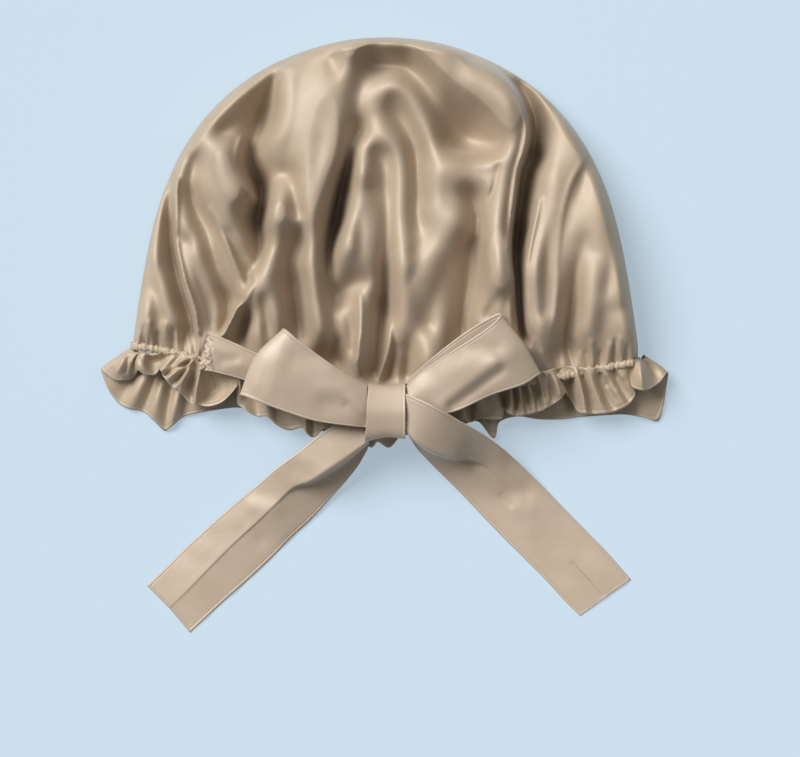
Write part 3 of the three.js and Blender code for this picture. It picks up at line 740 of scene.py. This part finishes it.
def makeCasing(edge):
    # an oval band along the crown's gathered edge, its radius varied by narrow puckers: 1 + sum of sines
    # its seam is left open underneath, so it isn't a closed tube
    closed = np.vstack([edge, edge[:1]])
    lengths = np.linalg.norm(np.diff(closed, axis=0), axis=1)
    at = np.concatenate([[0], np.cumsum(lengths)])
    to = np.linspace(0, at[-1], casing["columns"], endpoint=False)
    path = np.column_stack([np.interp(to, at, closed[:, i]) for i in range(3)])
    window = np.hanning(25) / np.hanning(25).sum()
    padded = np.vstack([path[-12:], path, path[:12]])
    path = np.column_stack([np.convolve(padded[:, i], window, "valid") for i in range(3)])
    r = np.random.default_rng(3)
    ripple = sum(np.sin(to * 2 * np.pi / w + r.uniform(0, 6.28)) for w in (2.7, 3.6, 4.9, 7.3)) / 4
    gap = casing["seamGap"] / 2
    turn = np.linspace((gap - 0.5) * np.pi, (1.5 - gap) * np.pi, casing["sides"] + 1)[:, None]
    swell = 1 + casing["pucker"] * ripple[None, :] * (1 + 0.3 * np.sin(turn * 2))
    out = np.sign(path[:, 0]) * np.clip((np.abs(path[:, 0]) - 120) / 16, 0, 1) * 1.5
    x = path[None, :, 0] + out[None, :] + 0.5 * np.cos(turn) * np.roll(ripple, 3)[None, :]
    y = path[None, :, 1] - casing["below"] + casing["across"] * np.cos(turn) * swell
    z = np.maximum(path[None, :, 2] + casing["thick"] * np.sin(turn) * swell, 0.2)
    rings = np.stack([x, y, z], 2)
    piece = layMesh("casing_cloth", rings * mm, casingSatin, loop=True, tube=True)
    dress(piece, "elastic_casing")
    print("casing: puckered band")
    return piece


# Each station across the gathered strip: its root at the casing, its middle and its hem, left to right along
# the front and back again under it.
frill = {
    "steps": 14,
    "rows": 24,
    "wall": 0.0005,
    "pleats": 240,
}
frillMarks = [
    (-131, -9, -124, -10.6, 1.1, 1.6), (-124, -10.6, -112, -8.6, 1.1, 1.4),
    (-128, -7, -114, -5.6, 1.0, 1.2), (-101, -11, -110, -14.4, 1.0, 1.6),
    (-110, -14.4, -119, -19, 1.1, 1.3), (-102, -12.6, -117, -20.6, 1.0, -1.6),
    (-101, -12.6, -108, -17.4, 1.0, 1.4), (-108, -17.4, -116, -22.6, 1.2, 1.4),
    (-102, -15, -113, -24.6, 1.1, -1.6), (-100.6, -14, -106, -21, 1.0, 1.3),
    (-106, -21, -112, -27.6, 1.2, 1.1), (-106, -25, -104, -32, 2.0, -1.6), (-94, -21, -92, -28, 1.2, 1.4),
    (-91, -28, -96, -33, 2.0, -1.4), (-140, -12, -143, -19, 1.4, 1.6), (-137, -12, -139, -19, 1.2, -1.6),
    (-135.4, -14, -135, -20, 1.2, 1.2), (-147, -18, -143, -22, 1.6, -0.9), (115, -20, 119, -26, 1.2, -1.9),
    (119, -26, 124, -34, 1.3, -1.3), (119, -23, 123, -28, 1.0, -1.3), (103, -20, 107, -35, 1.5, 1.2),
    (106, -21, 110, -31, 1.5, -1.3), (111, -20, 116, -33, 1.8, 0.9), (124, -17, 127, -22, 1.3, 1.2),
    (121, -18, 124, -22, 1.1, -1.2), (84, -22, 86, -33, 1.2, -1.6), (88, -22, 89.6, -33, 1.1, -1.8),
    (91, -23, 93.6, -31, 1.4, 1.4), (69, -29, 70, -39, 0.9, -1.4), (73.4, -28, 74.6, -38, 0.9, -1.4),
    (77.4, -27, 79, -37, 0.9, -1.4),
]
frillFront = [
    (-134, -5, 8, -143, -10.5, 8, -153, -18, 5), (-133.5, -6, 12, -142, -12.5, 14, -151, -20, 8),
    (-132.5, -7.5, 14, -139, -15, 17, -145, -24, 10), (-132, -8.5, 15, -136.5, -15.5, 16, -138, -23.5, 10),
    (-131.6, -9, 15, -134.5, -15, 13, -134.5, -21.5, 9), (-131, -9, 16, -133.6, -14, 17, -132.4, -18.5, 15),
    (-130, -9, 17, -132, -15, 22, -129.5, -20.4, 19), (-128, -9, 18, -129, -15, 22, -126.5, -21, 20),
    (-124, -9.5, 18, -126, -14.5, 15, -123, -20.6, 18), (-118, -9, 18, -120.6, -13.6, 15, -121, -18, 19),
    (-112, -9, 19, -115.4, -13.6, 20.5, -120, -18.4, 21),
    (-109, -9.4, 20, -113.4, -15.8, 18.4, -118.6, -21.4, 19),
    (-106, -10, 21, -110.6, -17, 22.4, -116.6, -24.6, 19),
    (-103.4, -10.4, 21, -108, -18.6, 19, -114, -27.4, 17.4),
    (-101.6, -11, 21, -106, -20.4, 22.4, -110.4, -30.4, 16.4),
    (-100, -12, 21, -105, -23, 15.4, -107, -33.4, 13), (-99, -14, 21, -102.4, -25.6, 15, -103.4, -37, 12),
    (-98, -15.6, 21, -100.2, -26.4, 21, -102, -36.4, 16),
    (-96.4, -16.6, 21, -97, -26.6, 14, -98.6, -37.4, 15), (-93, -17, 21, -93, -26, 10.6, -93, -37.4, 16.4),
    (-89, -17, 21, -88, -25, 11.4, -87, -35, 18), (-85, -17, 21, -83, -23.4, 15, -81.8, -30, 20),
    (-82, -17.4, 21, -79.6, -22.4, 17, -78.6, -26.6, 18.4),
    (-79.4, -18, 21, -77.6, -27, 19, -79.4, -36, 12.4), (-76, -19, 21, -74, -29, 13.6, -75, -39.6, 13),
    (-70, -20, 21, -69, -31, 13, -68.6, -43.4, 10.4), (-64.4, -21.4, 21, -64, -32, 19, -63.4, -43.4, 14.4),
    (-59, -22.4, 21, -58, -34, 14, -57.4, -48.4, 11), (-52, -24, 21, -51, -36, 13, -51.4, -50.8, 9.6),
    (-46.4, -25, 21, -45.6, -37, 14, -45, -49.4, 11), (-43.6, -25.6, 21, -43, -38, 18, -42.4, -52, 14),
    (-39, -26.4, 21, -38, -39, 12.6, -38.4, -54.4, 10), (-34, -27, 21, -33, -39, 17, -32, -50, 13),
    (-26, -27.6, 21, -25, -40, 13, -24, -54, 9), (-17, -28.4, 21, -17, -41, 17, -16, -53, 12),
    (-9, -29, 21, -9, -43, 13, -8, -60, 8), (-3, -29, 21, -3, -42, 17, -4, -57, 11),
    (3.6, -29, 21, 3, -43, 13, 2.4, -60, 8), (10, -28.6, 21, 10, -41, 17, 9.4, -53, 11),
    (18, -28, 21, 18, -40, 13, 18, -53, 9), (26, -27.4, 21, 27, -38, 17, 28, -49, 12),
    (33, -27, 21, 35, -37, 13, 36, -48, 10), (38.6, -26, 21, 41, -36, 18, 42, -45, 13),
    (43, -25, 21, 45, -35.6, 12, 46, -46.4, 9), (46.6, -24.6, 21, 49, -35, 17.4, 49.4, -44.6, 13),
    (50.4, -24.2, 21, 54, -35, 17.6, 55, -44.8, 14.4), (55.4, -23.4, 21, 60, -33, 18, 62.4, -44.6, 14),
    (60, -22.4, 21, 63.4, -31, 12, 64, -39, 11), (62.6, -22, 21, 65.4, -31, 17, 65, -41, 16),
    (65.2, -21.6, 21, 67.4, -30.6, 21, 68, -42.6, 17), (67, -21.4, 21, 69.4, -30.4, 14.6, 70.6, -43, 15),
    (69.4, -21, 21, 72, -29.6, 20.6, 74, -42.8, 17), (71.6, -20.8, 21, 74.4, -29, 14.6, 77, -42, 15.4),
    (74.4, -20.4, 21, 77.4, -28.4, 20.4, 80, -41.4, 17.4), (77, -20, 21, 79.6, -27.6, 15, 83, -40.4, 16.4),
    (80, -19.4, 21, 84, -28, 21.6, 86, -39, 18.6), (83, -19, 21, 88, -27.6, 18.6, 90, -36.8, 17.6),
    (85.6, -18.6, 21, 91.4, -26, 21.4, 94.4, -33.6, 18.6), (88.4, -18, 21, 93.4, -24, 19, 97.2, -30, 16.6),
    (91.4, -17.6, 20, 95.6, -24.4, 12, 98.4, -32, 9), (95, -17, 19, 98.4, -26, 8.4, 100.4, -35, 7.6),
    (98, -16.6, 19, 101, -27, 12, 103.2, -40.6, 10.6),
    (100.6, -16.6, 20, 104.6, -28, 19.4, 107.4, -42, 15.4),
    (104, -17, 20, 108, -29, 14.6, 111.6, -42.2, 12.6), (108, -17.2, 20, 112, -29, 18.6, 118, -41.8, 15),
    (112.6, -17.2, 20, 117, -28.6, 12.4, 123.4, -40.6, 11.4),
    (116.4, -16.8, 20, 121.4, -27, 18.4, 128.6, -38.4, 14.4),
    (121, -16, 19, 125.4, -26, 13.4, 131.6, -36, 13), (126, -14.6, 18, 129, -24, 17, 134.4, -31.6, 14),
    (130.6, -13.6, 18, 131.4, -20.6, 14.6, 131.8, -27, 16.4),
    (134, -12.8, 17, 133.8, -20, 20, 134.2, -28.6, 19.4),
    (136, -12.6, 16.4, 136.8, -20, 23, 137.8, -29.4, 20.6),
    (137, -12.6, 15, 139.8, -19, 15.4, 142, -28.4, 17.6),
    (138, -12.6, 13.4, 143, -18, 10, 146.4, -25.4, 13.4),
    (139, -12.2, 11.6, 145.6, -16.4, 10, 150, -21.6, 11),
    (139.6, -11.6, 9.6, 146.4, -14.8, 8.6, 152, -19.6, 7.6),
]
frillBack = [
    (139, -10, 7, 146.6, -16, 5.6, 152.4, -21.4, 4.4), (138, -12, 4.6, 145, -20, 5, 151.4, -28, 2.6),
    (136, -15, 3, 142, -27, 2.4, 150, -37.6, 2.4), (132, -17, 2, 138, -29, 3.6, 147, -45.8, 0.9),
    (126, -18, 2, 131, -32, 5, 139, -43.6, 3.4), (119, -19, 2, 123, -33, 1.5, 131, -42.4, 1),
    (110, -21, 2, 112, -33, 4.4, 118, -42.6, 2.6), (100, -22, 2, 101, -34, 1.5, 106, -43.6, 1),
    (90, -23, 2, 91, -34, 4.2, 95, -44.8, 2.6), (78, -24, 2, 79, -35, 1.5, 82, -44.8, 1),
    (68, -24.5, 2, 69, -36, 4, 71, -43.2, 2.2), (60, -25, 2, 60, -37, 2, 61.4, -46.6, 1.4),
    (54, -25, 2, 55, -38, 5, 58.4, -55, 3.6), (48, -25.5, 2, 49, -38, 2, 50, -46, 1.2),
    (38, -26, 2, 38, -38, 4.4, 38, -49, 2.4), (22, -26, 2, 22, -39, 1.6, 22, -51, 1),
    (7, -26, 2, 7, -40, 4.4, 7, -54, 2.4), (-8, -26, 2, -8, -40, 1.6, -7, -55, 1),
    (-22, -26, 2, -22, -39, 4.4, -22, -52, 2.4), (-36, -26, 2, -36, -39, 1.6, -35, -51, 1),
    (-50, -25, 2, -50, -37, 4.4, -51, -47, 2.4), (-64, -24, 2, -64, -35, 1.6, -65, -41, 1),
    (-76, -23, 2, -77, -32, 4.4, -78, -38.4, 2.2), (-86, -22, 2, -87, -31, 2, -90, -39.6, 1.2),
    (-95, -21, 2, -98, -31, 4.4, -101, -41.4, 2.6), (-102, -20, 2.4, -106, -32, 3.4, -109, -43.6, 1.4),
    (-107.6, -19, 3, -111.6, -33, 8, -114.6, -48, 3), (-112.6, -18.4, 4, -116.4, -34, 4.4, -119, -51, 1),
    (-117, -17.6, 5, -121.4, -31, 9, -125, -45, 3.6), (-121, -16.6, 6, -126.4, -30, 4, -130.6, -40.6, 1),
    (-125, -15, 7, -131.6, -27.6, 8.6, -137.4, -39.2, 3), (-129, -13, 8, -137, -25, 4.6, -144, -36, 1),
    (-132, -9.6, 8, -141, -19.6, 7, -149.4, -28, 3),
]


def makeFrill():
    # across each station the cloth is the parabola through root, middle and hem:
    # root (1 - t)(1 - 2t) + 4 middle t (1 - t) + hem t (2t - 1); fine pleats fade from the root
    stations = np.array(frillFront + frillBack, float).reshape(-1, 3, 3)
    ring = spline(stations, frill["steps"], closed=True)
    t = np.linspace(0, 1, frill["rows"])[:, None, None]
    root, middle, hem = (ring[None, :, i] for i in range(3))
    grid = root * (1 - t) * (1 - 2 * t) + 4 * middle * t * (1 - t) + hem * t * (2 * t - 1)
    along = np.concatenate([[0], np.cumsum(np.linalg.norm(np.diff(ring[:, 0], axis=0), axis=1))])
    r = np.random.default_rng(19)
    places = r.uniform(0, along[-1], frill["pleats"])
    widths, heights = r.uniform(0.7, 1.8, len(places)), r.uniform(-1.1, 1.3, len(places))
    lengths = r.uniform(0.1, 0.42, len(places))
    hemRipple = np.sin(np.arange(ring.shape[0]) * 0.19) + np.sin(np.arange(ring.shape[0]) * 0.083 + 1)
    t2 = t[:, :, 0]
    lift = 0.3 * hemRipple[None, :] * t2**2
    for place, width, height, length in zip(places, widths, heights, lengths):
        across = np.exp(-(((along - place) / width) ** 2))[None, :]
        lift = lift + height * across * np.exp(-((t2 / length) ** 2))
    front = np.arange(ring.shape[0]) < len(frillFront) * frill["steps"]
    lift = lift + creases(grid[:, :, 0], grid[:, :, 1], frillMarks)
    grid[:, :, 2] += lift * np.where(front, 1.0, 0.3)
    grid[:, :, 2] = np.maximum(grid[:, :, 2], 0.6)
    piece = layMesh("frill_cloth", grid * mm, frillSatin, loop=True, finished="end")
    clothWall(piece, frill["wall"])
    dress(piece, "frill")
    print("frill: gathered strip,", len(stations), "stations")
    return piece


# Stations along each ribbon; each one lists points across it from one edge to the other. A mark is a crease
# or dent: a segment's ends in plan, its half width and its height.
ribbon = {
    "steps": 16,
    "rows": 44,
    "wall": 0.00035,
}
strapLeft = {
    "stations": [
        [(-94, 2, 24.5), (-96.6, -8, 24), (-99.6, -17.6, 21.5)],
        [(-91, 0.8, 27.6), (-93, -9, 27), (-96, -18.4, 23.6)],
        [(-79, -4.4, 28), (-82, -13, 27.4), (-85, -21, 24.2)],
        [(-67, -9.8, 27.5), (-70, -17.6, 27), (-72.6, -24.6, 24)],
        [(-40, -19, 26.5), (-41, -27, 26), (-42, -35, 23.5)],
        [(-11, -31, 25.5), (-11, -38, 25.5), (-11, -45, 25)],
    ],
    "marks": [(-87, -14.6, -80, -12.6, 3.0, -0.6), (-90, -11, -86, -12, 2.4, -0.4),
        (-86, -17.4, -78, -16, 3.0, 0.3)],
    "crumple": (-92.5, 1.1),
}
strapRight = {
    "stations": [
        [(11, -31, 25), (11, -38, 25), (11, -45.6, 24.5)],
        [(32, -20, 26.5), (33, -28, 26), (34, -36, 24)],
        [(50, -12, 27), (52, -20, 26.5), (54, -28, 24)],
        [(67, -4.4, 27.5), (70, -12.6, 27), (71.6, -20.6, 24)],
    ],
    "marks": [],
}
loopLeft = {
    "stations": [
        [(-9, -27, 34), (-9, -38, 36), (-9, -49, 32)],
        [(-19, -21.4, 37), (-19.4, -34, 38.4), (-20, -48, 34.4)],
        [(-32, -12.8, 40), (-35, -28, 40), (-38, -45.2, 36.6)],
        [(-44, -4, 41.6), (-50, -22, 41.4), (-57, -39, 37.4)],
        [(-50, 1.2, 41.6), (-60, -15, 41.4), (-67.6, -35, 37)],
        [(-53, 3.4, 39.4), (-67, -11, 38.4), (-75.4, -32, 34.4)],
        [(-54, 3.4, 36.4), (-69, -12, 34.4), (-77, -31.6, 31.4)],
        [(-51, 1.2, 33.6), (-64, -14.6, 31), (-72, -31.4, 28.4)],
        [(-42, -5.4, 31.8), (-49, -21, 30), (-56, -36.4, 27.6)],
        [(-28, -15.6, 30), (-31, -28, 29), (-34, -42.6, 27.2)],
        [(-10, -28, 28.4), (-10, -38, 28.4), (-10, -48, 27.8)],
    ],
    "marks": [(-31, -36.4, -23, -36, 6.5, -1.2), (-20, -37, -11, -47, 2.2, -0.8),
        (-17, -33, -12, -40, 3.4, 0.5), (-33, -29, -22, -28.6, 5.4, 0.6), (-46, -12, -36, -10.6, 6.0, -0.8),
        (-64, -6, -69, -26, 3.4, 0.5), (-57, -14, -62, -30, 5.0, 0.4)],
}
loopRight = {
    "stations": [
        [(10, -28, 33.6), (10, -37, 35.4), (11, -46, 32)],
        [(21, -18, 38), (22, -30, 38.6), (24, -43.4, 35)],
        [(33.6, -9.6, 41), (36, -24, 41), (39, -39.8, 35.8)],
        [(46.4, -1.6, 42.6), (51, -17.6, 42), (56, -32, 36.4)],
        [(56.6, 5.8, 43), (64.4, -10.4, 42), (73, -26.4, 37)],
        [(60.4, 9.6, 41.4), (71.4, -5, 40), (81, -21.6, 34.4)],
        [(61.2, 11.4, 39), (73.6, -4.4, 36.8), (82.8, -20.4, 31.6)],
        [(57.6, 10.6, 37), (68, -5.4, 33.6), (76.8, -22.6, 28.8)],
        [(44, 2.6, 34.8), (49, -15, 31.4), (54, -33.2, 28)],
        [(26, -11, 31.4), (27, -26, 29.4), (29, -41.4, 27.6)],
        [(10, -25.6, 28.8), (10, -36, 28.4), (10, -45, 27.8)],
    ],
    "marks": [(31, -37, 58, -15.6, 4.6, 1.1), (36, -37, 61, -18.6, 3.2, -1.7), (60, -15, 67, -9, 5.0, 0.5),
        (42, -6.4, 58, -7.4, 5.0, -0.9), (44, -17, 58, -13.6, 5.4, 0.5)],
}
tailLeft = {
    "stations": [
        [(-11, -45.6, 24.8), (-8.4, -56.4, 26), (-8.6, -57.6, 17.4), (-9.4, -61, 16)],
        [(-25, -47, 26), (-19.6, -65, 26), (-19, -66.8, 14), (-14.4, -69.6, 12.6)],
        [(-35, -53, 24), (-30, -72, 24.4), (-29.4, -73.8, 10.4), (-20.4, -77.4, 8)],
        [(-46, -62, 19), (-40, -78, 19), (-39.6, -79.4, 7.6), (-29.4, -87.4, 3)],
        [(-58, -71, 12), (-49.6, -81.6, 11.4), (-49.2, -82.4, 8.6), (-39.6, -98.6, 1.5)],
        [(-68, -79.6, 7), (-58.6, -90, 8), (-58.2, -90.6, 7.2), (-50.6, -108.8, 0.8)],
        [(-79, -88.6, 4), (-69.4, -100.4, 5.6), (-69, -101, 4.8), (-61.6, -120, 0.8)],
        [(-92, -100, 2.5), (-82, -112, 4), (-81.6, -112.6, 3.4), (-74, -131.6, 0.8)],
        [(-106, -112.6, 1.5), (-95, -125, 3.2), (-94.6, -125.6, 2.7), (-85, -141.2, 0.8)],
        [(-118, -124.4, 0.9), (-106, -136.4, 2.4), (-105.6, -137, 2), (-95, -150.4, 0.8)],
        [(-128.6, -134.6, 0.8), (-116.6, -146.6, 1.5), (-116, -147.2, 1.3), (-105.4, -160, 0.8)],
    ],
    "marks": [(-76, -105, -68, -109, 5.6, -0.8), (-67, -111, -62, -112, 5.0, -0.3),
        (-70, -91.6, -60, -92.4, 5.0, 0.8), (-62, -100, -54, -106, 7.0, 0.4),
        (-94, -121, -84, -128, 5.0, -0.35), (-47, -72, -42, -74, 6.0, -0.9),
        (-112, -120, -104, -128, 6.0, -0.3)],
}
tailRight = {
    "stations": [
        [(11, -31, 38), (10.8, -51, 36), (12, -52, 22), (13, -54, 20)],
        [(20, -34.6, 41), (17, -57.4, 35), (18, -58.6, 17), (17, -60.4, 14)],
        [(29, -39.2, 40), (26, -62.8, 31), (27, -64, 12), (22, -66, 8)],
        [(40, -45.4, 33.5), (36, -65.8, 25), (36.6, -66.8, 9), (28.4, -72.6, 4)],
        [(50, -51.2, 26), (44.6, -66, 16), (45, -67, 8.4), (35, -79, 2)],
        [(60, -58, 18), (54, -70, 9.8), (54.2, -70.8, 8.4), (43, -87, 1.2)],
        [(70, -66.4, 9), (63, -79, 6.4), (63, -79.8, 6), (51.4, -96, 0.8)],
        [(82, -78, 3.5), (74, -90, 4), (74, -90.8, 3.9), (62, -107, 0.8)],
        [(95, -91.4, 1.2), (86, -103.4, 2.8), (86, -104.2, 2.8), (74, -119, 0.8)],
        [(108, -104.6, 0.8), (98, -117, 2), (98, -117.8, 1.8), (86, -131, 0.8)],
        [(120.6, -117.6, 0.8), (109, -130, 2.2), (108.6, -130.8, 1.7), (96, -142, 0.8)],
        [(132.6, -131.4, 0.8), (118.4, -141.2, 1.5), (117.8, -141.8, 1.2), (105, -151, 0.8)],
    ],
    "marks": [(66, -84.6, 75, -83.6, 5.6, -1.0), (62.6, -86, 67.6, -91.4, 1.3, -0.5),
        (73, -93, 77, -94, 5.4, 0.5), (84, -111, 90, -115, 5.6, -0.4), (101, -123, 117, -140, 1.2, -0.5),
        (50, -72, 58, -73, 6.0, 0.6)],
}
knot = {
    "columns": 60,
    "sides": 72,
    "halfLength": 10.2,
    "halfDepth": 15.0,
    "halfHeight": 7.6,
    "centre": (0.6, -40.2, 31.4),
    "waist": 0.07,
    "squareness": 0.78,
    "wall": 0.0005,
}


def makeRibbon(name, node, table, end=False):
    # stations splined along the ribbon, points across joined and slightly softened, then marked with creases
    stations = np.array(table["stations"], float)
    along = spline(stations, ribbon["steps"])
    across = np.swapaxes(along, 0, 1)
    if across.shape[0] == 3:
        across = spline(across, 12)
    grid = evenRows(across, ribbon["rows"], 0.7)
    x, y = grid[:, :, 0], grid[:, :, 1]
    upper = np.ones(grid.shape[1])
    if "loop" in node:
        # only the upper ply, out to the fold, carries the marks
        upper = np.clip((grid.shape[1] * 0.5 - np.arange(grid.shape[1])) / 12, 0, 1)
    grid[:, :, 2] += creases(x, y, table["marks"]) * upper[None, :]
    grid[:, :, 2] += fineWrinkles(x + y, y - x, 11, 6, 26.0, 0.16)
    if "crumple" in table:
        reach, height = table["crumple"]
        near = 1 / (1 + np.exp((x - reach) / 0.9))
        grid[:, :, 2] += near * fineWrinkles(x + 0.3 * y, y, 29, 9, 3.4, height)
        grid[:, :, 0] += near * fineWrinkles(y, x, 31, 5, 5.0, 0.7)
    floor = 0.5 if "tail" in node else 1.0
    grid[:, :, 2] = np.maximum(grid[:, :, 2], floor)
    piece = layMesh(name, grid * mm, ribbonSatin, finished="sides and end" if end else "sides")
    clothWall(piece, ribbon["wall"])
    dress(piece, node)
    return piece


def makeKnot():
    # an oval band: y = depth * cos, z = height * sin, narrowed at its waist by waist * (1 - along^2)
    along = np.linspace(-1, 1, knot["columns"])[None, :]
    turn = np.linspace(0, 2 * np.pi, knot["sides"] + 1)[:, None]
    narrow = 1 - knot["waist"] * (1 - along**2)
    cx, cy, cz = knot["centre"]
    c, s = np.cos(turn), np.sin(turn)
    skew = np.minimum(along, 0)  # the left end leans, and its lower corner hangs
    x = cx + knot["halfLength"] * along - 1.08 * c * skew
    y = cy + knot["halfDepth"] * np.sign(c) * np.abs(c) ** knot["squareness"] * narrow + 1.6 * skew * (c < 0)
    z = cz + knot["halfHeight"] * np.sign(s) * np.abs(s) ** knot["squareness"] * narrow
    z = z + 0.9 * np.exp(-(((y + 40.5) / 5.0) ** 2)) * np.clip(s, 0, 1) - 0.25 * np.abs(along + 0.1) ** 2
    grid = np.stack([x, y, z], 2)[::-1] * mm
    piece = layMesh("knot_ribbon", grid, ribbonSatin, finished="columns", tube=True)
    clothWall(piece, knot["wall"])
    dress(piece, "bow_knot")
    return piece


casingPiece = makeCasing(crownEdge)
frillPiece = makeFrill()
strapLeftPiece = makeRibbon("strap_left_ribbon", "strap_left", strapLeft)
strapRightPiece = makeRibbon("strap_right_ribbon", "strap_right", strapRight)
loopLeftPiece = makeRibbon("loop_left_ribbon", "bow_loop_left", loopLeft)
loopRightPiece = makeRibbon("loop_right_ribbon", "bow_loop_right", loopRight)
tailLeftPiece = makeRibbon("tail_left_ribbon", "bow_tail_left", tailLeft, end=True)
tailRightPiece = makeRibbon("tail_right_ribbon", "bow_tail_right", tailRight, end=True)
knotPiece = makeKnot()
print("ribbons: straps, loops, tails and knot")
